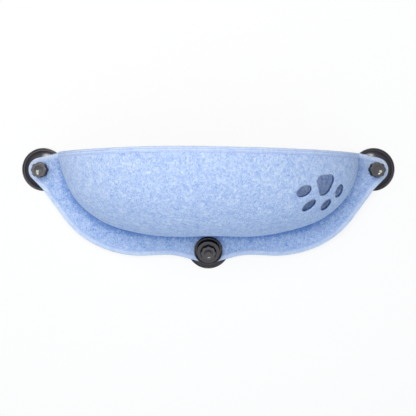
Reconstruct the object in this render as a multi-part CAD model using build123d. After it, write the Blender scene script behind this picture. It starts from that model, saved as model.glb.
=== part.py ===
from build123d import *
import os
from math import cos, radians, sin, sqrt, tan

# Window-mounted cat perch: a felt pouch sewn to a felt back panel that three suction cups hold to the glass.
# X points right, Y into the glass and Z up, in millimetres. The origin is the centre of the bottom cup's
# sealing face on the window plane Y = 0, and the perch stands in front of that plane, towards -Y.

# Places of the three suction cups
station_half_span = 300.0
bottom_droop_angle = 14.0

# Felt and tape
felt_thickness = 4.0
tape_thickness = 0.8
tape_width = 8.0

# Suction cups
cup_radius = 39.0
cup_lip_land = 3.0
cup_lip_thickness = 1.3
cup_bead_width = 2.8
cup_bead_height = 2.3
cup_groove_width = 1.9
cup_groove_height = 1.4
cup_shoulder_height = 3.1
cup_shoulder_width = 0.9
cup_dome_radius = 13.0
cup_dome_height = 10.5
cup_pressed_dome_height = 4.0
cup_cavity_height = 4.8
cup_pressed_cavity_height = 1.3
cup_dome_bulge_share = 0.14
cup_neck_radius = 10.0
cup_neck_length = 7.5
cup_neck_root_length = 2.8
cup_neck_root_sink = 1.0
cup_neck_edge_round = 1.0

# Studs moulded into the necks, with their flat heads
stud_radius = 3.0
stud_head_radius = 7.0
stud_head_thickness = 2.0
stud_head_depth = 6.0
stud_tip_chamfer = 0.6
stud_reach = 13.0
stud_hole_clearance = 0.3

# Washers behind the top knobs, and the stepped clamp disc behind the bottom knob
washer_radius = 11.0
washer_thickness = 2.0
washer_edge_round = 0.5
disc_radius = 25.5
disc_flange_height = 8.0
disc_flange_wall = 2.0
disc_groove_width = 2.6
disc_groove_height = 3.0
disc_height = 13.5
disc_pocket_clearance = 0.8
disc_edge_round = 0.7

# Knobs and their threaded inserts
knob_radius = 13.8
knob_height = 18.0
knob_lobe_count = 8
knob_first_scallop_angle = 22.5
knob_scallop_radius = 6.5
knob_scallop_depth = 1.3
knob_lobe_round = 1.5
knob_edge_round = 0.8
knob_dish_radius = 7.8
knob_dish_depth = 1.8
insert_radius = 5.0
insert_length = 11.0
insert_recess = 0.4
insert_flange_width = 1.0
insert_flange_thickness = 1.2
thread_running_clearance = 0.06
tip_bore_clearance = 0.4
tip_bore_end_gap = 1.2

# Back panel outline, seen from the room; the tape's outer edge is the outline
panel_top_above_stations = 30.2
panel_top_short_of_stations = 31.0
panel_top_corner_radius = 60.0
lobe_radius = 22.0
lobe_top_fall_angle = 13.8
lobe_side_slope_angle = 45.3
# Lower edge from the waist under a top lobe, round the belly, in to the middle lobe: x as a share of
# station_half_span, z as a share of station_rise, and the corner's radius as a share of station_half_span
lower_edge_shares = (
    (0.993, 0.754, 0.277),
    (0.755, 0.056, 0.550),
    (0.471, -0.106, 0.550),
    (0.214, -0.081, 0.380),
    (0.040, -0.186, 0.100),
)

# Pouch: D-shaped in plan, its wall near vertical above and rounded under below
pouch_end_margin = 4.0
pouch_depth = 205.0
pouch_height = 146.0
pouch_disc_clearance = 1.2
rim_rise = 9.0
pouch_width_power = 3.6
pouch_depth_power = 2.6
pouch_section_count = 9
pouch_last_section_angle = 86.0
seam_lip_width = 12.0

# Rim tape and the flat strip inside it that holds the rim's curve
stiffener_width = 5.5
stiffener_thickness = 1.2
stiffener_edge_gap = 0.8
stiffener_end_gap = 8.0

# Paw-shaped vents on the right: plan angle on the rim's ellipse in degrees, and drop as a share of the height
toe_half_length = 13.6
toe_half_width = 10.4
toe_placements = (
    (52.3, 0.419, 20.0),
    (45.4, 0.587, 64.0),
    (33.3, 0.592, 122.0),
    (29.4, 0.434, 132.0),
)
pad_plan_angle = 41.7
pad_drop_share = 0.355
pad_size = 42.0
# Corners of the main pad in shares of its size: right, up, and the corner's radius
pad_corner_shares = (
    (-0.686, 0.362, 0.191),
    (0.483, 0.437, 0.291),
    (0.191, -0.948, 0.312),
)

# Lengths by which cutting bodies run past what they cut
overrun = 10.0

# Worked out from the sizes above: the pouch's floor clears the disc about the bottom stud
cup_height = cup_dome_height + cup_neck_length
panel_front = cup_height + felt_thickness
rim_height = pouch_height + disc_radius + pouch_disc_clearance
station_rise = rim_height - panel_top_above_stations
panel_top_half_width = station_half_span - panel_top_short_of_stations
pouch_half_width = panel_top_half_width - pouch_end_margin
rim_arc_radius = (pouch_half_width**2 + rim_rise**2) / (2 * rim_rise)
rim_arc_centre = rim_height + rim_rise - rim_arc_radius
droop = radians(bottom_droop_angle)
sides = {"left": -1, "right": 1}


def save(name, shape):
    """Write one node; several solids in a node stay separate."""
    shape.label = name
    export_step(shape, os.path.join("parts", name + ".step"))
    return shape


def turned(outline):
    """Solid of revolution about local Z from a closed (radius, height) outline."""
    return revolve(Plane.XZ * make_face(outline), Axis.Z)


def disc_band(inner, outer, low, high):
    """Plain ring about local Z."""
    return turned(Polyline((inner, low), (outer, low), (outer, high), (inner, high), close=True))


# Seats: the plane at the front of each cup's neck, local Z along the stud towards the room, local Y up
def seat_plane(x, z, dome_height, tilt):
    outward = Vector(0, -cos(tilt), -sin(tilt))
    origin = Vector(x, -dome_height, z) + outward * cup_neck_length
    return Plane(origin=origin, x_dir=(1, 0, 0), z_dir=outward)


seats = {
    side: seat_plane(sign * station_half_span, station_rise, cup_dome_height, 0) for side, sign in sides.items()
}
seats["bottom"] = seat_plane(0, 0, cup_pressed_dome_height, droop)


# Suction cups
def cup_dome(dome_height, cavity_height):
    """Bell of the cup, its sealing land on Z = 0: bead at the lip, groove, shoulder and dome."""
    groove_outer = cup_radius - cup_bead_width
    groove_inner = groove_outer - cup_groove_width
    shoulder = groove_inner - cup_shoulder_width
    land_inner = cup_radius - cup_lip_land
    dome_middle = ((shoulder + cup_dome_radius) / 2, (cup_shoulder_height + dome_height) / 2)
    dome_bulge = cup_dome_bulge_share * (dome_height - cup_shoulder_height)
    cavity_ball = (land_inner**2 + cavity_height**2) / (2 * cavity_height)
    cavity_middle = land_inner / 2
    cavity_middle_height = cavity_height - cavity_ball + sqrt(cavity_ball**2 - cavity_middle**2)
    outline = Polyline((0, cavity_height), (0, dome_height), (cup_dome_radius, dome_height))
    outline += ThreePointArc(
        (cup_dome_radius, dome_height),
        (dome_middle[0], dome_middle[1] + dome_bulge),
        (shoulder, cup_shoulder_height),
    )
    outline += Polyline(
        (shoulder, cup_shoulder_height),
        (groove_inner, cup_groove_height),
        (groove_outer, cup_groove_height),
    )
    outline += ThreePointArc(
        (groove_outer, cup_groove_height),
        (cup_radius - cup_bead_width / 2, cup_bead_height),
        (cup_radius, cup_lip_thickness),
    )
    outline += Polyline((cup_radius, cup_lip_thickness), (cup_radius, 0), (land_inner, 0))
    outline += ThreePointArc((land_inner, 0), (cavity_middle, cavity_middle_height), (0, cavity_height))
    return turned(outline)


def suction_cup(seat, x, z, dome_height, cavity_height):
    """Cup with its sealing land on the glass and its neck along the stud."""
    glass = Plane(origin=(x, 0, z), x_dir=(1, 0, 0), z_dir=(0, -1, 0))
    cup = glass * cup_dome(dome_height, cavity_height)
    root = glass.offset(dome_height - cup_neck_root_sink) * Circle(cup_dome_radius)
    collar = seat.offset(cup_neck_root_length - cup_neck_length) * Circle(cup_neck_radius)
    neck = extrude(Circle(cup_neck_radius), cup_neck_root_length - cup_neck_length)
    neck = fillet(neck.edges().sort_by(Axis.Z)[-1], cup_neck_edge_round)
    return cup + loft([root, collar]) + seat * neck


def cup_stud():
    """Threaded stud, drawn at its thread's outer size, with its flat head in the neck."""
    tip = felt_thickness + washer_thickness + stud_reach
    head_back = -stud_head_depth
    head_front = head_back + stud_head_thickness
    shank = disc_band(0, stud_radius, head_front, tip)
    shank = chamfer(shank.edges().sort_by(Axis.Z)[-1], stud_tip_chamfer)
    return disc_band(0, stud_head_radius, head_back, head_front) + shank


# Hardware in front of the felt
def washer():
    ring = disc_band(stud_radius + stud_hole_clearance, washer_radius, 0, washer_thickness)
    rim = ring.edges().filter_by(GeomType.CIRCLE).group_by(SortBy.RADIUS)[-1]
    return fillet(rim.sort_by(Axis.Z)[-1], washer_edge_round)


def clamp_disc():
    """Stepped disc: outer wall, groove, and a boss whose pocket takes the knob."""
    bore = stud_radius + stud_hole_clearance
    pocket = knob_radius + disc_pocket_clearance
    groove_outer = disc_radius - disc_flange_wall
    boss = groove_outer - disc_groove_width
    disc = turned(
        Polyline(
            (bore, 0),
            (disc_radius, 0),
            (disc_radius, disc_flange_height),
            (groove_outer, disc_flange_height),
            (groove_outer, disc_groove_height),
            (boss, disc_groove_height),
            (boss, disc_height),
            (pocket, disc_height),
            (pocket, washer_thickness),
            (bore, washer_thickness),
            close=True,
        )
    )
    crests = [
        edge
        for edge in disc.edges().filter_by(GeomType.CIRCLE)
        if (edge.radius > boss - disc_edge_round and edge.center().Z > disc_groove_height + disc_edge_round)
    ]
    return fillet(crests, disc_edge_round)


def knob():
    """Lobed knob with a dished face, bored for its insert and for the stud's tip."""
    grip = Circle(knob_radius)
    scallop_centre = knob_radius + knob_scallop_radius - knob_scallop_depth
    scallops = PolarLocations(scallop_centre, knob_lobe_count, knob_first_scallop_angle)
    grip -= scallops * Circle(knob_scallop_radius)
    grip = fillet(grip.vertices(), knob_lobe_round)
    body = extrude(grip, knob_height)
    body = fillet(body.faces().sort_by(Axis.Z)[-1].edges(), knob_edge_round)
    dish_sphere = (knob_dish_radius**2 + knob_dish_depth**2) / (2 * knob_dish_depth)
    body -= Pos(0, 0, knob_height - knob_dish_depth + dish_sphere) * Sphere(dish_sphere)
    insert_end = insert_recess + insert_length
    tip_bore = stud_radius + tip_bore_clearance
    body -= disc_band(0, insert_radius, 0, insert_end)
    body -= disc_band(0, insert_radius + insert_flange_width, 0, insert_recess + insert_flange_thickness)
    return body - disc_band(0, tip_bore, insert_end, stud_reach + tip_bore_end_gap)


def knob_insert():
    """Flanged threaded insert, its bore a running fit on the stud."""
    bore = stud_radius + thread_running_clearance
    barrel = disc_band(bore, insert_radius, insert_recess, insert_recess + insert_length)
    flange = disc_band(
        bore, insert_radius + insert_flange_width, insert_recess, insert_recess + insert_flange_thickness
    )
    return barrel + flange


# Back panel: a flat sheet whose foot bends back to lie square to the drooping bottom stud
def bend_point(offset):
    """Where the upright and the tilted part of a layer meet, in (y, z), offset from the felt's back face."""
    seat = seats["bottom"].origin
    y = -(cup_height + offset)
    z = seat.Z - offset * sin(droop) - (y - seat.Y + offset * cos(droop)) / tan(droop)
    return y, z


def panel_layer(back_offset, front_offset):
    """Slab between two offsets from the felt's back face, wider and taller than the panel."""
    top = rim_height + rim_rise + overrun
    foot = station_rise
    corners = []
    for offset in (back_offset, front_offset):
        y, z = bend_point(offset)
        corners.append([(y, top), (y, z), (y + foot * sin(droop), z - foot * cos(droop))])
    profile = Polyline(*corners[0], *reversed(corners[1]), close=True)
    half_width = station_half_span + cup_radius + overrun
    return extrude(Plane.YZ * make_face(profile), half_width, both=True)


def lobe_corner():
    """Corner of the outline whose fillet is the round end about a top stud."""
    top_normal = Vector(sin(radians(lobe_top_fall_angle)), cos(radians(lobe_top_fall_angle)))
    side_normal = Vector(sin(radians(lobe_side_slope_angle)), -cos(radians(lobe_side_slope_angle)))
    reach = (top_normal + side_normal) * (lobe_radius / (1 + top_normal.dot(side_normal)))
    return station_half_span + reach.X, station_rise + reach.Y, lobe_radius


def panel_outline():
    """Outline face in (x, z), mirrored about the middle."""
    right = [(panel_top_half_width, rim_height, panel_top_corner_radius), lobe_corner()]
    for across, up, radius in lower_edge_shares:
        right.append((across * station_half_span, up * station_rise, radius * station_half_span))
    left = [(-x, z, radius) for x, z, radius in reversed(right)]
    corners = right + left
    points = [(x, z) for x, z, radius in corners]
    radii = [radius for x, z, radius in corners]
    return make_face(FilletPolyline(*points, radius=radii, close=True))


def through_panel(face):
    """Prism of an outline face through the whole depth of the panel."""
    return extrude(Plane.XZ * face, cup_height + felt_thickness + tape_thickness + overrun)


def stud_holes():
    bore = stud_radius + stud_hole_clearance
    return [seat * Cylinder(bore, cup_height) for seat in seats.values()]


def back_panel(outline):
    felt = through_panel(offset(outline, -tape_thickness)) & panel_layer(0, felt_thickness)
    return felt - stud_holes()


def panel_binding(outline, felt):
    """Folded tape round the panel's edge."""
    ring = outline - offset(outline, -tape_width)
    tape = through_panel(ring) & panel_layer(-tape_thickness, felt_thickness + tape_thickness)
    return tape - felt


# Pouch: plan sections stacked from the rim down, on the panel's front face
def section_sizes(drop_share, inset):
    """Half width and depth of the plan section at a share of the drop from rim to floor."""
    remain = 1 - drop_share**2
    half_width = (pouch_half_width - inset) * remain ** (1 / pouch_width_power)
    depth = (pouch_depth - inset) * remain ** (1 / pouch_depth_power)
    return half_width, depth


def plan_section(half_width, depth, height):
    """Half-elliptic front, and straight sides run back into the panel by the overrun."""
    outline = EllipticalCenterArc((0, 0), half_width, depth, start_angle=180, arc_size=90)
    outline += EllipticalCenterArc((0, 0), half_width, depth, start_angle=270, arc_size=90)
    outline += Polyline((half_width, 0), (half_width, overrun), (-half_width, overrun), (-half_width, 0))
    return Pos(0, -panel_front, height) * make_face(outline)


def pouch_body(inset):
    """Solid filled with the pouch's shape, every wall moved in by inset."""
    half_width, depth = section_sizes(0, inset)
    sections = [plan_section(half_width, depth, rim_height + rim_rise + overrun)]
    for index in range(pouch_section_count + 1):
        drop_share = sin(radians(pouch_last_section_angle * index / pouch_section_count))
        half_width, depth = section_sizes(drop_share, inset)
        sections.append(plan_section(half_width, depth, rim_height - drop_share * (pouch_height - inset)))
    return loft(sections)


def room_side(depth):
    """Block on the room side of the panel's front face, as deep as stated."""
    height = 2 * (pouch_height + overrun)
    return Pos(0, -panel_front - depth / 2, rim_height) * Box(2 * station_half_span, depth, height)


def under_arch(top_offset, bottom_offset=None):
    """Slab in (x, z) under the rim's arched line, down to a second arch or to below the pouch."""
    half_width = pouch_half_width + overrun

    def arch(arc_offset):
        radius = rim_arc_radius + arc_offset
        end = rim_arc_centre + sqrt(radius**2 - half_width**2)
        return ThreePointArc((-half_width, end), (0, rim_arc_centre + radius), (half_width, end)), end

    upper, upper_end = arch(top_offset)
    if bottom_offset is None:
        lower_end = rim_height - pouch_height - overrun
        lower = Line((-half_width, lower_end), (half_width, lower_end))
    else:
        lower, lower_end = arch(bottom_offset)
    sides_of_slab = Line((-half_width, lower_end), (-half_width, upper_end))
    sides_of_slab += Line((half_width, lower_end), (half_width, upper_end))
    face = make_face(upper + lower + sides_of_slab)
    return extrude(Plane.XZ * face, panel_front + pouch_depth + overrun)


def pouch_frame(plan_angle, drop_share):
    """Plane on the pouch's outer face: local X level to the right, local Z straight out."""
    angle = radians(plan_angle)
    half_width, depth = section_sizes(drop_share, 0)
    across = Vector(half_width * sin(angle), depth * cos(angle), 0)
    shrink = 2 * drop_share / (1 - drop_share**2)
    down = Vector(
        -shrink / pouch_width_power * half_width * cos(angle),
        shrink / pouch_depth_power * depth * sin(angle),
        -pouch_height,
    )
    origin = Vector(
        half_width * cos(angle), -panel_front - depth * sin(angle), rim_height - drop_share * pouch_height
    )
    return Plane(origin=origin, x_dir=across, z_dir=down.cross(across))


def vent_cutters():
    """Prisms of the four toes and the main pad, each square to the wall where it goes through."""
    shapes = []
    for plan_angle, drop_share, tilt in toe_placements:
        toe = Rot(0, 0, tilt) * Ellipse(toe_half_length, toe_half_width)
        shapes.append(pouch_frame(plan_angle, drop_share) * toe)
    points = [(right * pad_size, up * pad_size) for right, up, radius in pad_corner_shares]
    radii = [radius * pad_size for right, up, radius in pad_corner_shares]
    pad = make_face(FilletPolyline(*points, radius=radii, close=True))
    shapes.append(pouch_frame(pad_plan_angle, pad_drop_share) * pad)
    return [extrude(shape, felt_thickness + overrun, both=True) for shape in shapes]


def front_pouch(outside, inside, binding):
    """Felt wall open at the top, its back edge turned in as a sewn lip on the panel."""
    wall = (outside - inside) & room_side(pouch_depth + overrun)
    lip = (inside - pouch_body(felt_thickness + seam_lip_width)) & room_side(felt_thickness)
    shell = (wall + lip) & under_arch(-tape_thickness)
    return shell - vent_cutters() - binding


def stiffener_slot(outside, strip_inside):
    """Room for the flat springy strip under the tape, run out through the felt beside it."""
    top_offset = -tape_thickness - stiffener_edge_gap
    slot = (outside - strip_inside) & under_arch(top_offset, top_offset - stiffener_width)
    return (slot & room_side(pouch_depth + overrun)) - room_side(stiffener_end_gap)


def rim_binding(slot, pouch, binding):
    """Folded tape over the rim's edge and the strip."""
    inside = pouch_body(felt_thickness + stiffener_thickness + tape_thickness)
    fold = (pouch_body(-tape_thickness) - inside) & room_side(pouch_depth + overrun)
    fold &= under_arch(0, -tape_width)
    return fold - slot - pouch - binding


# Build every node
os.makedirs("parts", exist_ok=True)

outline = panel_outline()
panel = save("back_panel", back_panel(outline))
binding = save("panel_binding", panel_binding(outline, panel))
felt_outside = pouch_body(0)
felt_inside = pouch_body(felt_thickness)
slot = stiffener_slot(felt_outside, pouch_body(felt_thickness + stiffener_thickness))
pouch = save("front_pouch", front_pouch(felt_outside, felt_inside, binding))
save("rim_stiffener", slot & felt_inside)
save("rim_binding", rim_binding(slot, pouch, binding))

places = {side: (sign * station_half_span, station_rise) for side, sign in sides.items()}
places["bottom"] = (0, 0)
for station, (x, z) in places.items():
    seat = seats[station]
    stud = seat * cup_stud()
    if station == "bottom":
        cup = suction_cup(seat, x, z, cup_pressed_dome_height, cup_pressed_cavity_height)
        spacer_seat = seat.offset(felt_thickness + tape_thickness)
        save("clamp_disc", spacer_seat * clamp_disc())
    else:
        cup = suction_cup(seat, x, z, cup_dome_height, cup_cavity_height)
        spacer_seat = seat.offset(felt_thickness)
        save("washer_" + station, spacer_seat * washer())
    save("suction_cup_" + station, cup - stud)
    save("cup_stud_" + station, stud)
    knob_seat = spacer_seat.offset(washer_thickness)
    save("knob_" + station, knob_seat * knob())
    save("knob_insert_" + station, knob_seat * knob_insert())
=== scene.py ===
from math import cos, pi, radians, sin, sqrt, tan

import bpy
import numpy as np
from mathutils import Matrix, Vector
from mathutils.geometry import delaunay_2d_cdt


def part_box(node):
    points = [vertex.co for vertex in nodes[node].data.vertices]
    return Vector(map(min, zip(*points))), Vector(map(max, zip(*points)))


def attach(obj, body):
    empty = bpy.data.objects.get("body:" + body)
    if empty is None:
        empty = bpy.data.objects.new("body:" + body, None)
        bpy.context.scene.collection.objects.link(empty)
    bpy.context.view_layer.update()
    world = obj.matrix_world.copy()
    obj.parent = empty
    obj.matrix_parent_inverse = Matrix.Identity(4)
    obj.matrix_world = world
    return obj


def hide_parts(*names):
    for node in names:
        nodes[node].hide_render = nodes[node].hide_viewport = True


# Window-mounted cat perch in felt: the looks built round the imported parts
# Metres: X right, Y into the glass, Z up
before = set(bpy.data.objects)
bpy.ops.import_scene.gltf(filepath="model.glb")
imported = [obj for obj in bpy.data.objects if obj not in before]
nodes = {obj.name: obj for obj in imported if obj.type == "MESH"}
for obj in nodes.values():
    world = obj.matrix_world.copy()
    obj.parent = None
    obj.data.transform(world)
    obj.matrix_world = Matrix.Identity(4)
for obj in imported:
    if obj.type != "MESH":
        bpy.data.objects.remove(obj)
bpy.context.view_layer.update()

# Sizes read from the frame
stud_low, stud_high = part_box("cup_stud_right")
pouch_low, pouch_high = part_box("front_pouch")
station_half_span = (stud_low.x + stud_high.x) / 2
station_rise = (stud_low.z + stud_high.z) / 2
panel_front = -pouch_high.y
rim_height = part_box("panel_binding")[1].z
rim_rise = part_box("rim_binding")[1].z - rim_height
pouch_half_width = pouch_high.x
pouch_depth = -pouch_low.y - panel_front

# Felt and tape
felt_thickness = 0.004
tape_thickness = 0.0008
tape_width = 0.0097
fold_corner = 0.0022
leaf_edge_ease = 0.00025
leaf_edge_reach = 0.0006
leaf_steps = 23
fold_steps = 11
cup_height = panel_front - felt_thickness

# Bottom stud: how far it leans down, and where its axis leaves the back of the felt
bottom_droop = radians(14.0)
bottom_seat = Vector((0, -0.011277, -0.001814))

# Panel outline, as in the part's source. A corner of the lower edge is across, up and radius: shares of the
# stations' half span, of their rise and of their half span
panel_top_short_of_stations = 0.031
panel_top_corner_radius = 0.060
lobe_radius = 0.0220
lobe_top_fall = radians(13.8)
lobe_side_slope = radians(45.3)
lower_edge_shares = (
    (0.993, 0.754, 0.277),
    (0.755, 0.056, 0.550),
    (0.471, -0.106, 0.550),
    (0.214, -0.081, 0.380),
    (0.040, -0.186, 0.100),
)
corner_steps = 25
stud_hole_radius = 0.0033
stud_hole_sides = 20
bend_softness = 0.006

# Pouch wall
pouch_height = 0.146
pouch_width_power = 3.6
pouch_depth_power = 2.6
seam_turn_radius = 0.005
seam_lip_width = 0.012
stiffener_thickness = 0.0012

# The sewn wall isn't true: its floor sags on both sides, it leans, its rim slants, and its felt is wavy
floor_sag = 0.0042
floor_sag_place = 0.088
floor_sag_power = 7
floor_sag_back_share = 0.35
wall_lean = 0.0032
lean_top_share = 0.35
lean_foot_share = 0.75
lean_return_share = 1.4
rim_slant = 0.0012
rim_slant_reach = 0.070
rim_slant_fade_shares = (0.15, 0.60)
wall_wave = 0.0009
wave_shares = (1.0, 0.8, 0.5)
wave_turns = ((31, 12, 0.7), (-19, 47, 2.1), (83, 40, 0.0))
wave_rim_share = 0.25
wave_seam_reach = 0.05

# Paw vents: plan angle, drop as a share of the pouch's height, and tilt
toe_half_length = 0.0136
toe_half_width = 0.0104
toe_placements = (
    (52.3, 0.419, 20.0),
    (45.4, 0.587, 64.0),
    (33.3, 0.592, 122.0),
    (29.4, 0.434, 132.0),
)
pad_plan_angle = 41.7
pad_drop_share = 0.355
pad_size = 0.042
pad_corner_shares = (
    (-0.686, 0.362, 0.191),
    (0.483, 0.437, 0.291),
    (0.191, -0.948, 0.312),
)
vent_shift = -0.0025
vent_rounds = 12
cut_edge_round = 0.0005
cut_edge_angle = radians(50)
toe_steps = 44
pad_spacing = 0.0019

# Mesh and stitch spacing
felt_spacing = 0.0042
edge_spacing = 0.0022
edge_clearance_share = 0.55
fine_steps = 4000
seam_steps = 3000
stitch_pitch = 0.0036
stitch_length = 0.0030
stitch_width = 0.00062
stitch_steps = 4
panel_stitch_inset = 0.0082
rim_stitch_drops = (0.0038, 0.0074)
seam_stitch_inset = 0.0105
stitch_groove_depth = 0.00045
stitch_groove_width = 0.0010
thread_sink_share = 0.6
pucker_depth = 0.00012
pucker_reach = 0.0022
seam_stitch_share = 0.97

# Fibres of the felt. Scales are per metre of cloth; a lay of fibres is its angle, and its scales across and along
drift_scales = (90.0, 130.0)
drift_reach = 0.012
dark_curl_shift = (3.7, 1.9, 0.0)
light_curl_scale = 185.0
dark_curl_scale = 200.0
curl_thinness = 4.2
cloud_scale = 75.0
fibre_lays = ((18.0, 2600.0, 170.0), (77.0, 2300.0, 150.0), (131.0, 2800.0, 190.0))
curl_share = 0.15
fibre_share = 0.24
cloud_share = 0.22
tone_stops = (0.30, 0.505, 0.71)
fibre_relief = 0.25
curl_relief = 0.3

# Painted shade in the felt: darker lines along the tapes' stitch grooves, a painted shadow at the tapes' free
# edges, and a painted shadow on the panel along the seam under the pouch
painted_line_width = 0.0011
panel_stitch_painted_shade = 0.07
panel_leaf_painted_shadow = 0.12
rim_stitch_painted_shade = 0.10
rim_leaf_painted_shadow = 0.20
# Painted shadow on the panel along the seam under the pouch: how far it reaches, how dark it is, and the share of
# it kept at the top
painted_seam_shadow_reach = 0.015
painted_seam_shadow_depth = 0.30
painted_seam_shadow_top_share = 0.2

# Moulded pieces and metal
# Painted reflection of the black mouldings: facing values between which their coat fades in on faces turned to
# the room, leaving walls darker
painted_dark_below = 0.84
moulding_relief = 0.00006
thread_relief = 0.0002

# Studs
stud_radius = 0.003
stud_sides = 40
thread_pitch = 0.001
thread_depth = 0.00055
thread_steps = 8
thread_steepness = 1.25
thread_root_share = 0.12
stud_head_radius = 0.007
stud_head_back = -0.006
stud_head_front = -0.004
stud_tip = 0.019
stud_tip_chamfer = 0.0006

# Backdrop and room; the room's light is weaker upwards, by the height of the direction it comes from
backdrop_half = 6.0
backdrop_gap = 0.0006
backdrop_floor = -0.9
backdrop_colour = (0.165, 0.158, 0.15, 1)
backdrop_glow = 0.83
white = (1, 1, 1, 1)
room_tint = (0.80, 0.96, 1.16, 1)
room_heights = (-0.5, 0.0, 0.7)
room_strengths = (0.72, 0.66, 0.16)

# Camera at the photograph's place
camera_place = (0, -1.366, 0.1634)
camera_dip = 3.82
camera_lens = 64.79
camera_shift = -0.0009


# Materials
class Signal:
    """A socket's value in a node tree. Arithmetic on it adds Math nodes."""

    def __init__(self, graph, socket):
        self.graph, self.socket = graph, socket

    def maths(self, operation, *values):
        return self.graph.node("ShaderNodeMath", {"operation": operation}, *values)

    def __add__(self, other):
        return self.maths("ADD", self, other)

    __radd__ = __add__

    def __sub__(self, other):
        return self.maths("SUBTRACT", self, other)

    def __rsub__(self, other):
        return self.maths("SUBTRACT", other, self)

    def __mul__(self, other):
        return self.maths("MULTIPLY", self, other)

    __rmul__ = __mul__

    def __pow__(self, other):
        return self.maths("POWER", self, other)

    def absolute(self):
        return self.maths("ABSOLUTE", self)

    def clamped(self):
        return self.graph.node("ShaderNodeClamp", {}, self)


class Graph:
    """A node tree and the one method that adds any node to it."""

    def __init__(self, tree):
        self.tree = tree

    def node(self, kind, settings, *values, output=0, **named):
        made = self.tree.nodes.new(kind)
        for key, value in settings.items():
            if key == "stops":
                ramp = made.color_ramp
                for index, (position, colour) in enumerate(value):
                    stop = ramp.elements[index] if index < 2 else ramp.elements.new(position)
                    stop.position, stop.color = position, colour
            else:
                setattr(made, key, value)
        entries = [(made.inputs[index], value) for index, value in enumerate(values)]
        entries += [(made.inputs[key.replace("_", " ")], value) for key, value in named.items()]
        for socket, value in entries:
            if isinstance(value, Signal):
                self.tree.links.new(value.socket, socket)
            else:
                socket.default_value = value
        return Signal(self, made.outputs[output]) if made.outputs else None


class Finish(Graph):
    """A material with one surface shader."""

    def __init__(self, name, **uniform):
        self.material = bpy.data.materials.new(name)
        self.material.use_nodes = True
        super().__init__(self.material.node_tree)
        self.shader = self.tree.nodes["Principled BSDF"]
        for socket, value in uniform.items():
            self.shader.inputs[socket.replace("_", " ")].default_value = value

    def feed(self, socket, signal):
        self.tree.links.new(signal.socket, self.shader.inputs[socket])

    def place(self, kind):
        """Texture coordinates: Object or UV."""
        return self.node("ShaderNodeTexCoord", {}, output=kind)

    def noise(self, place, scale, detail=2.0, roughness=0.5, distortion=0.0):
        return self.node(
            "ShaderNodeTexNoise",
            {},
            Vector=place,
            Scale=scale,
            Detail=detail,
            Roughness=roughness,
            Distortion=distortion,
        )

    def strands(self, place, angle, across, along, distortion=0.6):
        """Noise drawn out into fibres that lie at an angle."""
        turned = self.node("ShaderNodeMapping", {}, Vector=place, Rotation=(0, 0, radians(angle)))
        drawn = self.node("ShaderNodeMapping", {}, Vector=turned, Scale=(along, across, 1))
        return self.noise(drawn, 1.0, 2.0, 0.55, distortion)

    def curl(self, place, scale):
        """Thin curled lines: 1 along a line, 0 away from it."""
        away = self.noise(place, scale, 1.5, 0.5, 0.8) - 0.5
        return (1 - away.absolute() * (curl_thinness * 2)).clamped()

    def ramp(self, value, *stops):
        return self.node("ShaderNodeValToRGB", {"stops": stops}, value)

    def bump(self, height, relief):
        self.feed("Normal", self.node("ShaderNodeBump", {}, Height=height, Distance=relief))

    def grain(self, scale, relief):
        """Fine unevenness that shows in the light."""
        self.bump(self.noise(self.place("Object"), scale, 3.0), relief)

    def wear(self, scale, spread, least):
        """Roughness that varies a little from place to place."""
        self.feed("Roughness", self.noise(self.place("Object"), scale, 3.0) * spread + least)


def shade(red, green, blue):
    """Colour from display values 0 to 255."""
    linear = [((v / 255 + 0.055) / 1.055) ** 2.4 if v > 10.3 else v / 3294.6 for v in (red, green, blue)]
    return (*linear, 1.0)


def melange(name, dark, middle, light, contrast, fuzz, shade_lines=(), painted_shadow=None):
    """Felted fibres in mixed tones: curled light and dark strands over fine straight ones that lie every way.

    Lines of painted shade darken a tape along its stitch grooves and its free edges, each given by its distance
    from the fold's middle and its depth. A further function, when given, paints a shadow on a sheet: it gives how
    much darker the sheet is there."""
    felt = Finish(name, Roughness=0.95, Sheen_Weight=0.25, Sheen_Roughness=0.45, Specular_IOR_Level=0.2)
    place = felt.place("UV")
    drift = felt.node("ShaderNodeCombineXYZ", {}, *[felt.noise(place, scale) for scale in drift_scales], 0.0)
    stray = (drift_reach, drift_reach, 0.0)
    shifted = felt.node("ShaderNodeVectorMath", {"operation": "MULTIPLY_ADD"}, drift, stray, place)
    far = felt.node("ShaderNodeVectorMath", {"operation": "ADD"}, shifted, dark_curl_shift)
    light_curl = felt.curl(shifted, light_curl_scale)
    dark_curl = felt.curl(far, dark_curl_scale)
    cloud = felt.noise(far, cloud_scale) - 0.5
    fibre = felt.strands(shifted, *fibre_lays[0])
    for lay in fibre_lays[1:]:
        fibre += felt.strands(shifted, *lay)
    mixed = (light_curl - dark_curl) * curl_share + (fibre - len(fibre_lays) / 2) * fibre_share
    tone = (mixed + cloud * cloud_share) * contrast + tone_stops[1]
    # Painted shade: darker lines along a tape's stitch grooves and its free edges
    if shade_lines:
        reach = felt.node("ShaderNodeSeparateXYZ", {}, place, output="Y").absolute()
        for at, depth in shade_lines:
            tone = tone - (1 - (reach - at).absolute() * (1 / painted_line_width)).clamped() * depth
    # Painted shadow on the sheet, where a function for it is given
    if painted_shadow:
        tone = tone - painted_shadow(felt, place)
    felt.feed("Base Color", felt.ramp(tone, *zip(tone_stops, (dark, middle, light))))
    felt.bump(fibre * fibre_relief + light_curl * curl_relief, fuzz)
    return felt.material


def from_fold(thick, shade_lines):
    """Lines of painted shade that are given from a tape's edge, now given along its skin from the middle of its
    fold.
    """
    half, corner = thick / 2, min(thick / 2, fold_corner)
    slack = pi / 2 * sqrt((corner**2 + half**2) / 2) - corner
    return [(at + slack, depth) for at, depth in shade_lines]


panel_tape_thickness = felt_thickness + 2 * tape_thickness
rim_tape_thickness = panel_tape_thickness + stiffener_thickness
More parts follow.
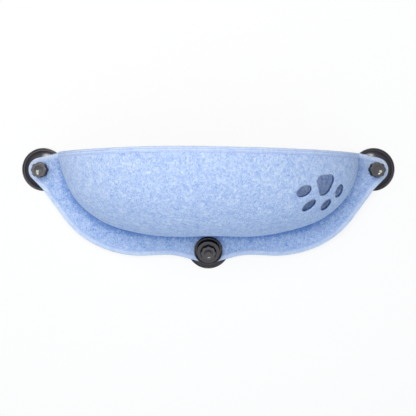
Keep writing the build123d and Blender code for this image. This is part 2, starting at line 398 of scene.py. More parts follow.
# Lines of painted shade on the tapes: along their stitch rows and, darker, at their free edges
panel_shade_lines = [(panel_stitch_inset, panel_stitch_painted_shade), (tape_width, panel_leaf_painted_shadow)]
rim_shade_lines = [(down, rim_stitch_painted_shade) for down in rim_stitch_drops] + [(tape_width, rim_leaf_painted_shadow)]


def painted_seam_shadow(felt, place):
    """Painted shadow on the panel along the line where the pouch is sewn to it and shades it, darker towards the
    bottom.
    """
    across = felt.node("ShaderNodeSeparateXYZ", {}, place, output="X").absolute() * (1 / pouch_half_width)
    down = (rim_height - felt.node("ShaderNodeSeparateXYZ", {}, place, output="Y")) * (1 / pouch_height)
    away = (across**pouch_width_power + down**2 - 1).absolute() * (pouch_height / 2)
    near = (1 - away * (1 / painted_seam_shadow_reach)).clamped()
    lower = down.clamped() * (1 - painted_seam_shadow_top_share) + painted_seam_shadow_top_share
    return near * lower * painted_seam_shadow_depth


body_tones = shade(136, 168, 224), shade(193, 210, 240), shade(230, 236, 250)
# The panel's felt is a darker, bluer copy of the pouch's felt: painted shade, since the panel lies in the pouch's
# shade
shaded_panel_tones = shade(122, 158, 218), shade(180, 201, 236), shade(220, 229, 248)
edge_tones = shade(150, 177, 224), shade(207, 218, 239), shade(234, 239, 248)
tape_tones = shade(142, 168, 218), shade(204, 214, 236), shade(230, 235, 246)
# Dark tones for the felt's cut walls: painted shade in the walls of the vents and cut edges
cut_wall_shade_tones = shade(40, 60, 98), shade(60, 84, 130), shade(88, 114, 164)
panel_shade_lines = from_fold(panel_tape_thickness, panel_shade_lines)
rim_shade_lines = from_fold(rim_tape_thickness, rim_shade_lines)
felt_body = melange("felt_body", *body_tones, contrast=1.0, fuzz=0.0014)
felt_panel_shaded = melange("felt_panel_shaded", *shaded_panel_tones, contrast=1.0, fuzz=0.0014, painted_shadow=painted_seam_shadow)
felt_edge = melange("felt_edge", *edge_tones, contrast=0.45, fuzz=0.0008, shade_lines=panel_shade_lines)
felt_tape = melange("felt_tape", *tape_tones, contrast=0.40, fuzz=0.0006, shade_lines=rim_shade_lines)
felt_cut_painted_shade = melange("felt_cut_painted_shade", *cut_wall_shade_tones, contrast=1.0, fuzz=0.0010)

thread = Finish("sewing_thread", Base_Color=shade(160, 186, 234), Roughness=0.6, Sheen_Weight=0.3)
thread.bump(thread.noise(thread.place("Object"), 2500.0), thread_relief)


def moulded_black(name, shell, gloss, mirror, painted_gloss_above, grain):
    """Moulded black stuff with a painted reflection: its mirroring coat is laid only on faces turned towards the
    room, so its walls turned away stay darker.
    """
    stuff = Finish(name, Base_Color=shell, Specular_IOR_Level=0.10, Coat_Roughness=gloss, Coat_IOR=mirror)
    normal = stuff.node("ShaderNodeNewGeometry", {}, output="Normal")
    to_room = (0.0, -1.0, 0.0)
    facing = stuff.node("ShaderNodeVectorMath", {"operation": "DOT_PRODUCT"}, normal, to_room, output="Value")
    smooth = {"interpolation_type": "SMOOTHSTEP"}
    reach = {"From_Min": painted_dark_below, "From_Max": painted_gloss_above}
    stuff.feed("Coat Weight", stuff.node("ShaderNodeMapRange", smooth, Value=facing, **reach))
    stuff.wear(500.0, spread=0.15, least=0.40)
    stuff.grain(grain, moulding_relief)
    return stuff.material


def bare_metal(name, colour):
    """Metal a little uneven in its shine."""
    metal = Finish(name, Base_Color=colour, Metallic=1.0)
    metal.wear(600.0, spread=0.20, least=0.24)
    return metal.material


cup_black, knob_black, disc_black = shade(32, 28, 36), shade(38, 33, 40), shade(32, 28, 37)
cup_look = {"gloss": 0.20, "mirror": 1.56, "painted_gloss_above": 0.99, "grain": 900.0}
knob_look = {"gloss": 0.08, "mirror": 1.74, "painted_gloss_above": 0.96, "grain": 1800.0}
disc_look = {"gloss": 0.20, "mirror": 1.68, "painted_gloss_above": 0.96, "grain": 1600.0}
rubber = moulded_black("cup_rubber", cup_black, **cup_look)
knob_plastic = moulded_black("knob_plastic", knob_black, **knob_look)
disc_plastic = moulded_black("disc_plastic", disc_black, **disc_look)
steel = bare_metal("zinc_steel", shade(196, 199, 203))
brass = bare_metal("insert_brass", shade(214, 178, 104))
spring_strip = Finish("spring_strip", Base_Color=shade(226, 228, 232), Roughness=0.4).material


def coat(obj, material):
    obj.data.materials.clear()
    obj.data.materials.append(material)


# Mesh making
def mesh_piece(name, points, faces, material, uv=None, smooth=True):
    """Object at the origin from points and faces; uv gives one (u, v) for each point."""
    data = bpy.data.meshes.new(name)
    data.from_pydata([tuple(p) for p in points], [], [tuple(int(i) for i in f) for f in faces])
    if uv is not None:
        layer = data.uv_layers.new(name="Cloth")
        corners = np.empty(len(data.loops), np.int32)
        data.loops.foreach_get("vertex_index", corners)
        layer.data.foreach_set("uv", np.asarray(uv, np.float32)[corners].ravel())
    data.materials.append(material)
    data.polygons.foreach_set("use_smooth", np.full(len(data.polygons), smooth))
    data.update()
    obj = bpy.data.objects.new(name, data)
    bpy.context.scene.collection.objects.link(obj)
    return obj


def unit(vectors):
    return vectors / np.maximum(np.linalg.norm(vectors, axis=-1, keepdims=True), 1e-12)


def point_normals(points, triangles):
    a, b, c = (points[triangles[:, k]] for k in range(3))
    across = np.cross(b - a, c - a)
    normals = np.zeros_like(points)
    for k in range(3):
        np.add.at(normals, triangles[:, k], across)
    return unit(normals)


def run_along(points):
    """Distance from the start of a polyline to each of its points."""
    return np.concatenate([[0], np.cumsum(np.linalg.norm(np.diff(points, axis=0), axis=1))])


def points_at(marks, run, points):
    """Points of a polyline at given distances along it."""
    return np.column_stack([np.interp(marks, run, points[:, k]) for k in range(points.shape[1])])


def resampled(points, spacing, closed=False):
    """Points spaced evenly along a polyline, about spacing apart."""
    points = np.asarray(points, float)
    if closed:
        points = np.vstack([points, points[:1]])
    run = run_along(points)
    marks = np.linspace(0, run[-1], max(2, int(round(run[-1] / spacing))) + 1)
    return points_at(marks[:-1] if closed else marks, run, points)


def rounded_outline(corners):
    """Closed outline through corners (x, z, radius), each corner a round of its radius."""
    outline = []
    count = len(corners)
    for index in range(count):
        before = np.array(corners[index - 1][:2])
        corner = np.array(corners[index][:2])
        after = np.array(corners[(index + 1) % count][:2])
        radius = corners[index][2]
        back, ahead = unit(before - corner), unit(after - corner)
        half = np.arccos(np.clip(back @ ahead, -1, 1)) / 2
        centre = corner + unit(back + ahead) * radius / np.sin(half)
        start = corner + back * radius / np.tan(half) - centre
        finish = corner + ahead * radius / np.tan(half) - centre
        turn = np.arctan2(start[0] * finish[1] - start[1] * finish[0], start @ finish)
        for angle in turn * np.linspace(0, 1, corner_steps):
            right = start[0] * cos(angle) - start[1] * sin(angle)
            up = start[0] * sin(angle) + start[1] * cos(angle)
            outline.append(centre + (right, up))
    return np.array(outline)


def inside_loop(points, loop):
    """Which points lie inside a closed loop, by counting crossings."""
    x, y = points[:, 0], points[:, 1]
    hit = np.zeros(len(points), bool)
    for (x0, y0), (x1, y1) in zip(loop, np.roll(loop, -1, axis=0)):
        spans = (y0 > y) != (y1 > y)
        if y0 != y1:
            hit ^= spans & (x < (x1 - x0) * (y - y0) / (y1 - y0) + x0)
    return hit


def near_loop(points, loop, distance, block_size=2000):
    """Which points lie within a distance of a loop's own points."""
    close = np.zeros(len(points), bool)
    for start in range(0, len(points), block_size):
        block = points[start : start + block_size]
        apart = np.linalg.norm(block[:, None] - loop[None], axis=2).min(axis=1)
        close[start : start + block_size] = apart < distance
    return close


def flat_triangles(outer, holes, spacing):
    """Even triangles over a flat outline with holes: (points, triangles)."""
    low, high = outer.min(0), outer.max(0)
    rows = np.arange(low[1], high[1], spacing * sqrt(3) / 2)
    grid = []
    for index, row in enumerate(rows):
        columns = np.arange(low[0] + (index % 2) * spacing / 2, high[0], spacing)
        grid.append(np.column_stack([columns, np.full(len(columns), row)]))
    grid = np.vstack(grid)
    grid = grid[inside_loop(grid, outer)]
    loops = [outer, *holes]
    for loop in loops:
        grid = grid[~near_loop(grid, loop, spacing * edge_clearance_share)]
    for hole in holes:
        grid = grid[~inside_loop(grid, hole)]
    points, edges = [grid], []
    start = len(grid)
    for loop in loops:
        points.append(loop)
        edges += [(start + k, start + (k + 1) % len(loop)) for k in range(len(loop))]
        start += len(loop)
    made = delaunay_2d_cdt([Vector(p) for p in np.vstack(points)], edges, [], 0, 1e-7)
    points = np.array([tuple(p) for p in made[0]])
    triangles = np.array([f for f in made[2]])
    centres = points[triangles].mean(axis=1)
    keep = inside_loop(centres, outer)
    for hole in holes:
        keep &= ~inside_loop(centres, hole)
    return points, triangles[keep]


def thick_felt(obj, cut_edges):
    """Gives a middle surface the felt's thickness, with soft edges where it was cut."""
    wall = obj.modifiers.new("felt_thickness", "SOLIDIFY")
    wall.thickness = felt_thickness
    wall.offset = 0
    if cut_edges:
        # The cut walls get the dark felt, whose colour paints the shade in them
        obj.data.materials.append(felt_cut_painted_shade)
        wall.material_offset_rim = 1
        soft = obj.modifiers.new("cut_edge", "BEVEL")
        soft.width = cut_edge_round
        soft.segments = 2
        soft.limit_method = "ANGLE"
        soft.angle_limit = cut_edge_angle


def swept(name, rings, material, closed, uv_along, uv_across):
    """Skin over rings of profile points, its ends capped unless the path is closed.

    Its faces point outwards where the profile runs anticlockwise, seen along the path."""
    count, width = rings.shape[:2]
    points = rings.reshape(-1, 3)
    steps = count if closed else count - 1
    faces = []
    for i in range(steps):
        j = (i + 1) % count
        for k in range(width):
            m = (k + 1) % width
            faces.append((i * width + k, j * width + k, j * width + m, i * width + m))
    if not closed:
        faces.append(tuple(range(width)))
        faces.append(tuple(reversed(range((count - 1) * width, count * width))))
    uv = np.stack(np.broadcast_arrays(uv_along[:, None], uv_across[None, :]), axis=-1).reshape(-1, 2)
    return mesh_piece(name, points, faces, material, uv)


# Back panel
def bend_drop(z, offset):
    """How far a layer of the panel leans back towards the glass at a height."""
    y = -(cup_height + offset)
    behind = (y - bottom_seat.y + offset * cos(bottom_droop)) / tan(bottom_droop)
    below = bottom_seat.z - offset * sin(bottom_droop) - behind - z
    return tan(bottom_droop) * (below + np.sqrt(below**2 + bend_softness**2)) / 2


def panel_point(x, z, offset):
    """Point of the panel at an offset from the felt's back face."""
    x, z, offset = np.broadcast_arrays(x, z, offset)
    return np.stack([x, -(cup_height + offset) + bend_drop(z, offset), z], axis=-1)


def lobe_corner():
    """Corner whose round is the end about a top stud."""
    top = np.array([sin(lobe_top_fall), cos(lobe_top_fall)])
    side = np.array([sin(lobe_side_slope), -cos(lobe_side_slope)])
    reach = (top + side) * lobe_radius / (1 + top @ side)
    return station_half_span + reach[0], station_rise + reach[1], lobe_radius


right_corners = [
    (station_half_span - panel_top_short_of_stations, rim_height, panel_top_corner_radius),
    lobe_corner(),
]
right_corners += [
    (across * station_half_span, up * station_rise, radius * station_half_span)
    for across, up, radius in lower_edge_shares
]
left_corners = [(-x, z, radius) for x, z, radius in reversed(right_corners)]
stitch_step = stitch_pitch / stitch_steps
panel_edge = resampled(rounded_outline(right_corners + left_corners), stitch_step, closed=True)
panel_run = np.arange(len(panel_edge)) * np.linalg.norm(panel_edge[1] - panel_edge[0])
edge_ahead = unit(np.roll(panel_edge, -1, axis=0) - np.roll(panel_edge, 1, axis=0))
edge_inward = np.column_stack([edge_ahead[:, 1], -edge_ahead[:, 0]])
if not inside_loop(panel_edge[:1] + edge_inward[:1] * edge_spacing, panel_edge)[0]:
    edge_inward = -edge_inward


def circle_loop(centre, radius, count):
    angles = np.linspace(0, 2 * pi, count, endpoint=False)
    return np.column_stack([centre[0] + radius * np.cos(angles), centre[1] + radius * np.sin(angles)])


stations = {
    "left": (-station_half_span, station_rise),
    "right": (station_half_span, station_rise),
    "bottom": (0, 0),
}


def make_panel():
    outer = resampled(panel_edge + edge_inward * tape_thickness, edge_spacing, closed=True)
    holes = [circle_loop(centre, stud_hole_radius, stud_hole_sides) for centre in stations.values()]
    flat, triangles = flat_triangles(outer, holes, felt_spacing)
    points = panel_point(flat[:, 0], flat[:, 1], felt_thickness / 2)
    normals = point_normals(points, triangles)
    if normals[:, 1].mean() > 0:
        triangles = triangles[:, ::-1]
    panel = mesh_piece("panel_felt", points, triangles, felt_panel_shaded, flat)
    thick_felt(panel, cut_edges=False)
    return panel


def groove(distance):
    """Depth by which a stitch line pulls the tape in, at a distance from the line."""
    return stitch_groove_depth * np.exp(-((distance / stitch_groove_width) ** 2))


def fold_profile(thick, stitch_lines):
    """Outer skin of a folded tape, from the front leaf's free edge over the fold to the back leaf's free edge.

    It is given as distances from the edge and offsets past the felt's middle."""
    half = thick / 2
    corner = min(half, fold_corner)
    fold = np.linspace(pi / 2, -pi / 2, fold_steps + 2)[1:-1]
    front = np.linspace(tape_width, corner, leaf_steps)
    back = np.linspace(corner, tape_width, leaf_steps)
    distance = np.concatenate([front, corner * (1 - np.cos(fold)), back])
    lift = np.concatenate([np.full(leaf_steps, half), half * np.sin(fold), np.full(leaf_steps, -half)])
    on_leaf = np.repeat([1, 0, -1], [leaf_steps, fold_steps, leaf_steps])
    pull = sum(groove(distance - line) for line in stitch_lines)
    ease = leaf_edge_ease * np.exp(-((tape_width - distance) / leaf_edge_reach) ** 2)
    return distance, lift - on_leaf * (pull + ease)


def fold_loop(thick, stitch_lines):
    """Whole outline of a folded tape, its outer skin first, and how many points that skin has."""
    distance, lift = fold_profile(thick, stitch_lines)
    half = thick / 2 - tape_thickness
    inner_distance = [tape_width, tape_thickness, tape_thickness, tape_width]
    inner_lift = [-half, -half, half, half]
    return np.concatenate([distance, inner_distance]), np.concatenate([lift, inner_lift]), len(distance)


def fold_run(distance, lift, skin):
    """Distance along a tape's outline from the middle of its outer skin."""
    across = run_along(np.column_stack([distance, lift]))
    return across - across[skin - 1] / 2


def make_panel_tape():
    distance, lift, skin = fold_loop(panel_tape_thickness, [panel_stitch_inset])
    between = (np.arange(len(panel_edge)) % stitch_steps == 0)[:, None]
    swell = pucker_depth * np.exp(-(((distance - panel_stitch_inset) / pucker_reach) ** 2))
    swell[skin:] = 0
    lift = lift[None, :] + np.sign(lift)[None, :] * between * swell[None, :]
    x = panel_edge[:, 0, None] + edge_inward[:, 0, None] * distance[None, :]
    z = panel_edge[:, 1, None] + edge_inward[:, 1, None] * distance[None, :]
    rings = panel_point(x, z, felt_thickness / 2 + lift)
    return swept("panel_tape", rings, felt_edge, True, panel_run, fold_run(distance, lift[0], skin))


# Pouch wall: plan angle from the right end round to the left, and drop as a share of the height
reach_table = np.linspace(0, pi / 2, fine_steps)
width_table = np.sin(reach_table)
bow_table = width_table ** (pouch_width_power / 2)
sample_angle = radians(58)
table_points = np.column_stack(
    [
        pouch_half_width * width_table * cos(sample_angle),
        pouch_depth * bow_table ** (2 / pouch_depth_power) * sin(sample_angle),
        pouch_height * np.sqrt(1 - bow_table**2),
    ]
)
run_table = run_along(table_points)
wall_run = run_table[-1]
seam_turn_run = (seam_turn_radius - felt_thickness / 2) * pi / 2


def drop_at(reach):
    """Drop share at a share of the way from the pole of the floor to the rim."""
    width = np.sin(np.interp(reach * wall_run, run_table, reach_table))
    below = np.sqrt(np.maximum(1 - width**pouch_width_power, 0))
    return np.where(reach > 1, (1 - reach) * wall_run / pouch_height, below)


def reach_at(drop):
    width = np.maximum(1 - np.maximum(drop, 0) ** 2, 0) ** (1 / pouch_width_power)
    below = np.interp(np.arcsin(np.clip(width, 0, 1)), reach_table, run_table) / wall_run
    return np.where(drop < 0, 1 - drop * pouch_height / wall_run, below)


def eased(value, low, high):
    """Smooth step from 0 at low to 1 at high."""
    share = np.clip((value - low) / (high - low), 0, 1)
    return share * share * (3 - 2 * share)


def wall_point(angle, drop, inset, from_panel=0.0, lean=1.0):
    """Point of the pouch's wall, moved in from its outer face.

    The sewn wall leans a little to the right, and its rim hangs lower there."""
    remain = 1 - np.maximum(drop, 0) ** 2
    width = (pouch_half_width - inset) * remain ** (1 / pouch_width_power)
    depth = (pouch_depth - seam_turn_radius - inset) * remain ** (1 / pouch_depth_power)
    sway = eased(drop, 0.0, lean_top_share) - lean_return_share * eased(drop, lean_foot_share, 1.0)
    x = width * np.cos(angle) + lean * wall_lean * sway
    y = -(panel_front + seam_turn_radius) - depth * np.sin(angle) + from_panel
    slant = np.tanh(x / rim_slant_reach) * (1 - eased(drop, *rim_slant_fade_shares))
    near = (x / floor_sag_place) ** 2
    fore = floor_sag_back_share + (1 - floor_sag_back_share) * np.sin(angle)
    sag = near * np.exp(1 - near) * np.clip(drop, 0, 1) ** floor_sag_power * fore
    z = rim_height - drop * (pouch_height - inset) - lean * rim_slant * slant - floor_sag * sag
    return np.stack(np.broadcast_arrays(x, y, z), axis=-1)


def rim_line(x):
    """Height of the rim's arched line."""
    radius = (pouch_half_width**2 + rim_rise**2) / (2 * rim_rise)
    return rim_height + rim_rise - radius + np.sqrt(radius**2 - x**2)


def cloth_point(u, v, inset):
    """Pouch point over the flat half disc, with the rim at its round edge and the floor at its middle.

    Below v = 0 lies the turned-in lip that is sewn to the panel."""
    height = np.maximum(v, 0)
    angle = np.arctan2(height, u)
    drop = drop_at(np.hypot(u, height) / wall_run)
    past = np.maximum(-v, 0)
    turn = seam_turn_radius - inset
    swing = np.minimum(past / turn, pi / 2)
    run_in = seam_turn_radius - turn * np.cos(swing) + np.maximum(past - turn * pi / 2, 0)
    moved_in = np.where(v < 0, run_in, inset)
    towards = np.where(v < 0, turn * np.sin(swing), 0)
    return wall_point(angle, drop, moved_in, towards)


def vent_loop(plan_angle, drop, shape):
    """Outline of a vent in the flat half disc, from its shape (right, up) on the plane that touches the wall.

    It is found in a few rounds, each of which steps down the slope of what is still wrong."""
    angle, step = radians(plan_angle), 1e-4
    middle = felt_thickness / 2
    here = wall_point(angle, drop, 0.0, lean=0.0)
    side = unit(wall_point(angle - step, drop, 0.0) - wall_point(angle + step, drop, 0.0))
    down = unit(wall_point(angle, drop + step, 0.0) - wall_point(angle, drop - step, 0.0))
    side = unit(side * np.array([1, 1, 0]))
    out = unit(np.cross(down, side))
    up = np.cross(out, side)
    at = np.column_stack([np.full(len(shape), angle), np.full(len(shape), drop)])
    for _ in range(vent_rounds):
        rest = wall_point(at[:, 0], at[:, 1], middle) - here
        gap = np.column_stack([rest @ side - vent_shift, rest @ up]) - shape
        by_angle = (wall_point(at[:, 0] + step, at[:, 1], middle) - here - rest) / step
        by_drop = (wall_point(at[:, 0], at[:, 1] + step, middle) - here - rest) / step
        a, b, c, d = by_angle @ side, by_drop @ side, by_angle @ up, by_drop @ up
        scale = 1 / (a * d - b * c)
        at[:, 0] -= scale * (d * gap[:, 0] - b * gap[:, 1])
        at[:, 1] -= scale * (a * gap[:, 1] - c * gap[:, 0])
    reach = reach_at(at[:, 1]) * wall_run
    return np.column_stack([reach * np.cos(at[:, 0]), reach * np.sin(at[:, 0])])


def toe_shape(tilt):
    angles = np.linspace(0, 2 * pi, toe_steps, endpoint=False)
    long, short = toe_half_length * np.cos(angles), toe_half_width * np.sin(angles)
    turn = radians(tilt)
    return np.column_stack([long * cos(turn) - short * sin(turn), long * sin(turn) + short * cos(turn)])


def pad_shape():
    corners = [[share * pad_size for share in corner_shares] for corner_shares in pad_corner_shares]
    return resampled(rounded_outline(corners), pad_spacing, closed=True)


def wave(u, v):
    """Slow waves of a hand-worked felt wall, nil at the rim and at the seam."""
    reach = np.hypot(u, v) / wall_run
    edge = np.clip((1 - reach) / wave_rim_share, 0, 1) * np.clip(v / wave_seam_reach, 0, 1)
    waves = zip(wave_shares, wave_turns)
    swell = sum(share * np.sin(right * u + up * v + phase) for share, (right, up, phase) in waves)
    return wall_wave * swell * edge / sum(wave_shares)


def make_pouch():
    angles = np.linspace(0, pi, int(pi * wall_run / edge_spacing))
    x = pouch_half_width * np.cos(angles)
    rim_reach = wall_run + rim_line(x) - rim_height - tape_thickness
    rim = np.column_stack([rim_reach * np.cos(angles), rim_reach * np.sin(angles)])
    rim[:, 1] = np.maximum(rim[:, 1], 0)
    foot = -(seam_turn_run + seam_lip_width - (seam_turn_radius - felt_thickness))
    side = resampled([(rim[-1, 0], 0), (rim[-1, 0], foot)], edge_spacing)[1:]
    bottom = resampled([side[-1], (-side[-1, 0], side[-1, 1])], edge_spacing)[1:]
    other = resampled([bottom[-1], (rim[0, 0], 0)], edge_spacing)[1:-1]
    outer = np.vstack([rim, side, bottom, other])
    vents = [vent_loop(angle, drop, toe_shape(tilt)) for angle, drop, tilt in toe_placements]
    vents.append(vent_loop(pad_plan_angle, pad_drop_share, pad_shape()))
    flat, triangles = flat_triangles(outer, vents, felt_spacing)
    points = cloth_point(flat[:, 0], flat[:, 1], felt_thickness / 2)
    normals = point_normals(points, triangles)
    well_up = flat[:, 1] > wall_run / 3
    if normals[well_up, 1].mean() > 0:
        triangles, normals = triangles[:, ::-1], -normals
    points += normals * wave(flat[:, 0], flat[:, 1])[:, None]
    pouch = mesh_piece("pouch_felt", points, triangles, felt_body, flat)
    thick_felt(pouch, cut_edges=True)
    return pouch


def rim_angles():
    """Plan angles spaced evenly along the rim, a quarter stitch apart."""
    fine = np.linspace(0, pi, fine_steps)
    run = run_along(wall_point(fine, 0.0, 0.0))
    marks = np.linspace(0, run[-1], int(round(run[-1] / stitch_step)) + 1)
    return np.interp(marks, run, fine), marks


def rim_point(angle, down, inset):
    """Point of the rim, down from its arched line and in from the wall's outer face."""
    drop = (rim_height - rim_line(pouch_half_width * np.cos(angle)) + down) / pouch_height
    return wall_point(angle, drop, inset)


def make_rim_tape():
    angles, marks = rim_angles()
    distance, lift, skin = fold_loop(rim_tape_thickness, rim_stitch_drops)
    inset = rim_tape_thickness / 2 - tape_thickness - lift
    rings = rim_point(angles[:, None], distance[None, :], inset[None, :])
    # The tape's ends run on to the panel, and its path is taken from the left end to the right one
    ends = rings[[0, -1]]
    ends[:, :, 1] = -panel_front
    rings = np.concatenate([ends[:1], rings, ends[1:]])[::-1]
    marks = np.concatenate([[-seam_turn_radius], marks, [marks[-1] + seam_turn_radius]])[::-1]
    return swept("rim_tape", rings, felt_tape, False, marks, fold_run(distance, lift, skin))


# Stitches
def stitch_tree():
    """Node tree that sets a flattened bead of thread on every point, and the key of each of its inputs.

    A bead lies along the point's own direction, and its top faces out."""
    tree = bpy.data.node_groups.new("stitches", "GeometryNodeTree")
    inputs = {"Geometry": "Geometry", "Stitch length": "Float", "Thread width": "Float", "Thread": "Material"}
    keys = {}
    for name, kind in inputs.items():
        socket = tree.interface.new_socket(name, in_out="INPUT", socket_type="NodeSocket" + kind)
        keys[name] = socket.identifier
    tree.interface.new_socket("Geometry", in_out="OUTPUT", socket_type="NodeSocketGeometry")
    graph = Graph(tree)
    points, length, width, stuff = (graph.node("NodeGroupInput", {}, output=name) for name in inputs)
    bead = graph.node("GeometryNodeMeshUVSphere", {}, Segments=8, Rings=6, Radius=0.5, output="Mesh")
    size = graph.node("ShaderNodeCombineXYZ", {}, length, width, width)
    vector = {"data_type": "FLOAT_VECTOR"}
    along = graph.node("GeometryNodeInputNamedAttribute", vector, Name="along", output="Attribute")
    out = graph.node("GeometryNodeInputNamedAttribute", vector, Name="out", output="Attribute")
    turn = graph.node("FunctionNodeAxesToRotation", {"primary_axis": "X", "secondary_axis": "Z"}, along, out)
    beads = {"Points": points, "Instance": bead, "Rotation": turn, "Scale": size}
    beads = graph.node("GeometryNodeInstanceOnPoints", {}, **beads)
    real = graph.node("GeometryNodeRealizeInstances", {}, Geometry=beads)
    soft = graph.node("GeometryNodeSetShadeSmooth", {}, Geometry=real)
    threads = graph.node("GeometryNodeSetMaterial", {}, Geometry=soft, Material=stuff)
    graph.node("NodeGroupOutput", {}, threads)
    return tree, keys


stitches_tree, stitches_keys = stitch_tree()


def stitch_row(name, centres, along, out):
    """Plain mesh of one row's stitches."""
    data = bpy.data.meshes.new(name + "_points")
    data.from_pydata([tuple(p) for p in centres], [], [])
    for key, values in (("along", along), ("out", out)):
        attribute = data.attributes.new(key, "FLOAT_VECTOR", "POINT")
        attribute.data.foreach_set("vector", np.asarray(values, np.float32).ravel())
    carrier = bpy.data.objects.new(name + "_points", data)
    bpy.context.scene.collection.objects.link(carrier)
    maker = carrier.modifiers.new("stitches", "NODES")
    maker.node_group = stitches_tree
    maker[stitches_keys["Stitch length"]] = stitch_length
    maker[stitches_keys["Thread width"]] = stitch_width
    maker[stitches_keys["Thread"]] = thread.material
    evaluated = carrier.evaluated_get(bpy.context.evaluated_depsgraph_get())
    mesh = bpy.data.meshes.new_from_object(evaluated)
    bpy.data.objects.remove(carrier)
    row = bpy.data.objects.new(name, mesh)
    mesh.name = name
    bpy.context.scene.collection.objects.link(row)
    return row


def row_along(line, out):
    """Centres, directions and outward directions of the stitches along a finely stepped line."""
    middle = slice(stitch_steps // 2, None, stitch_steps)
    ahead = unit(np.gradient(line, axis=0))
    return line[middle], ahead[middle], out[middle]


def make_panel_stitches():
    rows = []
    x, z = (panel_edge + edge_inward * panel_stitch_inset).T
    skins = (("front", -1.0, felt_thickness + tape_thickness), ("back", 1.0, -tape_thickness))
    for side, facing, offset in skins:
        line = panel_point(x, z, offset + facing * thread_sink_share * stitch_groove_depth)
        out = np.tile([0.0, facing, 0.0], (len(line), 1))
        rows.append(stitch_row("panel_stitches_" + side, *row_along(line, out)))
    return rows


def make_rim_stitches():
    rows = []
    angles, _ = rim_angles()
    outward = [np.cos(angles) / pouch_half_width, -np.sin(angles) / pouch_depth, 0 * angles]
    outward = unit(np.column_stack(outward))
    skins = (("outer", 1, -tape_thickness), ("inner", -1, rim_tape_thickness - tape_thickness))
    for index, down in enumerate(rim_stitch_drops):
        for side, facing, inset in skins:
            line = rim_point(angles, down, inset + facing * thread_sink_share * stitch_groove_depth)
            rows.append(stitch_row(f"rim_stitches_{side}_{index + 1}", *row_along(line, outward * facing)))
    return rows


def make_seam_stitches():
    rows = []
    past = -(seam_turn_run + seam_stitch_inset - seam_turn_radius)
    end = wall_run * seam_stitch_share
    u = np.linspace(-end, end, seam_steps)
    line = cloth_point(u, np.full_like(u, past), felt_thickness / 2)
    run = run_along(line)
    line = points_at(np.arange(0, run[-1], stitch_step), run, line)
    inner = line.copy()
    inner[:, 1] = -(panel_front + felt_thickness)
    back = panel_point(line[:, 0], line[:, 2], 0.0)
    for side, facing, placed in (("inner", -1.0, inner), ("back", 1.0, back)):
        out = np.tile([0.0, facing, 0.0], (len(line), 1))
        rows.append(stitch_row("seam_stitches_" + side, *row_along(placed, out)))
    return rows


# Studs with their threads
def make_stud(station):
    """Stud with a rolled thread, its flat head in the cup's neck."""
    angles = np.linspace(0, 2 * pi, stud_sides, endpoint=False)

    def ring(radius, height):
        return np.column_stack([circle_loop((0, 0), radius, stud_sides), np.full(stud_sides, height)])

    rings = [ring(stud_head_radius, stud_head_back), ring(stud_head_radius, stud_head_front)]
    rings.append(ring(stud_radius, stud_head_front))
    steps = int((stud_tip - stud_tip_chamfer - stud_head_front) / (thread_pitch / thread_steps))
    for height in stud_head_front + np.arange(1, steps) * thread_pitch / thread_steps:
        phase = (height / thread_pitch - angles / (2 * pi)) % 1.0
        crest = np.clip(np.abs(phase - 0.5) * 2 * thread_steepness - thread_root_share, 0, 1)
        rings.append(ring(stud_radius - thread_depth * (1 - crest), height))
    rings.append(ring(stud_radius - thread_depth, stud_tip))
    points = np.vstack([*rings, [[0, 0, stud_head_back]], [[0, 0, stud_tip]]])
    low, high, last = len(points) - 2, len(points) - 1, (len(rings) - 1) * stud_sides
    sides = [(k, (k + 1) % stud_sides) for k in range(stud_sides)]
    faces = []
    for start in range(0, last, stud_sides):
        after = start + stud_sides
        faces += [(start + k, start + m, after + m, after + k) for k, m in sides]
    for k, m in sides:
        faces += [(low, m, k), (high, last + k, last + m)]
    droop = bottom_droop if station == "bottom" else 0.0
    x, z = stations[station]
    seat = bottom_seat if station == "bottom" else Vector((x, -cup_height, z))
    outward = Vector((0, -cos(droop), -sin(droop)))
    right = Vector((1, 0, 0))
    up = outward.cross(right)
    place = Matrix((right, up, outward)).transposed()
    placed = [seat + place @ Vector(p) for p in points]
    return mesh_piece("stud_" + station, placed, faces, steel)


# Put the pieces on the frame
panel_felt = make_panel()
panel_tape = make_panel_tape()
pouch_felt = make_pouch()
rim_tape = make_rim_tape()
panel_rows = make_panel_stitches()
rim_rows = make_rim_stitches()
seam_rows = make_seam_stitches()
studs = {station: make_stud(station) for station in stations}

sheets = [panel_felt, panel_tape, pouch_felt, rim_tape]
for piece in (*sheets, *panel_rows, *rim_rows, *seam_rows, *studs.values()):
    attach(piece, "perch")
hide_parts("back_panel")
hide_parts("panel_binding")
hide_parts("front_pouch")
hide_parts("rim_binding")
for station, stud in studs.items():
    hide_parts("cup_stud_" + station)

node_finishes = {
    "back_panel": felt_panel_shaded,
    "front_pouch": felt_body,
    "panel_binding": felt_edge,
    "rim_binding": felt_tape,
    "rim_stiffener": spring_strip,
    "suction_cup": rubber,
    "cup_stud": steel,
    "washer": steel,
    "clamp_disc": disc_plastic,
    "knob_insert": brass,
    "knob": knob_plastic,
}
for name, node in nodes.items():
    coat(node, next(finish for start, finish in node_finishes.items() if name.startswith(start)))

# Length of the rim
rim_length = float(rim_angles()[1][-1])


# Backdrop: a pale wall at the glass and a pale floor far below, each seen from its front alone
def backdrop_finish(name):
    finish = Finish(name, Base_Color=backdrop_colour, Roughness=1.0, Specular_IOR_Level=0.0)
    finish.shader.inputs["Emission Color"].default_value = white
    finish.shader.inputs["Emission Strength"].default_value = backdrop_glow
    back = finish.node("ShaderNodeNewGeometry", {}, output="Backfacing")
    seen = finish.node("ShaderNodeLightPath", {}, output="Is Camera Ray")
    clear = finish.node("ShaderNodeBsdfTransparent", {})
    pale = Signal(finish, finish.shader.outputs[0])
    mixed = finish.node("ShaderNodeMixShader", {}, seen * (1 - back), clear, pale)
    finish.tree.links.new(mixed.socket, finish.tree.nodes["Material Output"].inputs["Surface"])
    return finish.material


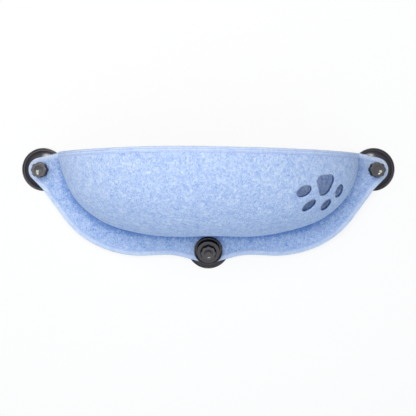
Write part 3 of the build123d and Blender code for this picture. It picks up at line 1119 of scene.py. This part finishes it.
def backdrop_sheet(name, corners):
    pale = backdrop_finish("pale_" + name)
    return mesh_piece("backdrop_" + name, corners, [(0, 1, 2, 3)], pale, smooth=False)


square = ((-1, 0), (1, 0), (1, 1), (-1, 1))
wall_corners = [(x * backdrop_half, backdrop_gap, (2 * far - 1) * backdrop_half) for x, far in square]
floor_corners = [(x * backdrop_half, (far - 1) * backdrop_half, backdrop_floor) for x, far in square]
wall = backdrop_sheet("wall", wall_corners)
ground = backdrop_sheet("floor", floor_corners)


# Light
def soft_lamp(name, place, aim, width, height, power, tint=(1.0, 1.0, 1.0)):
    data = bpy.data.lights.new(name, "AREA")
    data.shape = "RECTANGLE"
    data.size, data.size_y = width, height
    data.energy = power
    data.color = tint
    lamp = bpy.data.objects.new(name, data)
    bpy.context.scene.collection.objects.link(lamp)
    lamp.location = place
    lamp.rotation_mode = "QUATERNION"
    lamp.rotation_quaternion = (Vector(aim) - Vector(place)).to_track_quat("-Z", "Y")
    return lamp


warm = (1.0, 0.98, 0.94)
pouch_middle = (0, -0.05, 0.1)
soft_lamp("side_softbox", (-1.2, -1.5, 0.7), (0, -0.1, 0.08), width=1.6, height=1.6, power=5.0)
soft_lamp("front_softbox", (-0.18, -1.45, 0.60), pouch_middle, width=0.8, height=0.8, power=13.0, tint=warm)
gloss_strip = soft_lamp("gloss_strip", (0.0, -1.15, 1.28), pouch_middle, width=1.1, height=0.26, power=26.0)
gloss_strip.visible_diffuse = False

# Room light: faintly cool on the object and weakest from above, and plain white where it is seen or mirrored
world = bpy.data.worlds.new("pale_room")
world.use_nodes = True
bpy.context.scene.world = world
room = Graph(world.node_tree)
seen = room.node("ShaderNodeLightPath", {}, output="Is Camera Ray")
for ray in ("Is Glossy Ray", "Is Transmission Ray"):
    seen = seen.maths("MAXIMUM", seen, room.node("ShaderNodeLightPath", {}, output=ray))
towards = room.node("ShaderNodeTexCoord", {}, output="Generated")
height = room.node("ShaderNodeSeparateXYZ", {}, towards, output="Z")
below = room.node("ShaderNodeMapRange", {}, height, *room_heights[:2], *room_strengths[:2])
strength = room.node("ShaderNodeMapRange", {}, height, *room_heights[1:], below, room_strengths[2])
lit = room.node("ShaderNodeBackground", {}, room_tint, strength)
plain = room.node("ShaderNodeBackground", {}, white, 1.0)
chosen = room.node("ShaderNodeMixShader", {}, seen, lit, plain)
room.tree.links.new(chosen.socket, room.tree.nodes["World Output"].inputs["Surface"])

# Camera
camera_data = bpy.data.cameras.new("camera")
camera_data.lens = camera_lens
camera_data.sensor_width = 36.0
camera_data.shift_x = camera_shift
camera_data.clip_start, camera_data.clip_end = 0.05, 30.0
camera = bpy.data.objects.new("camera", camera_data)
bpy.context.scene.collection.objects.link(camera)
camera.location = camera_place
camera.rotation_euler = (radians(90 - camera_dip), 0, 0)
bpy.context.scene.camera = camera
bpy.context.scene.view_settings.view_transform = "Standard"
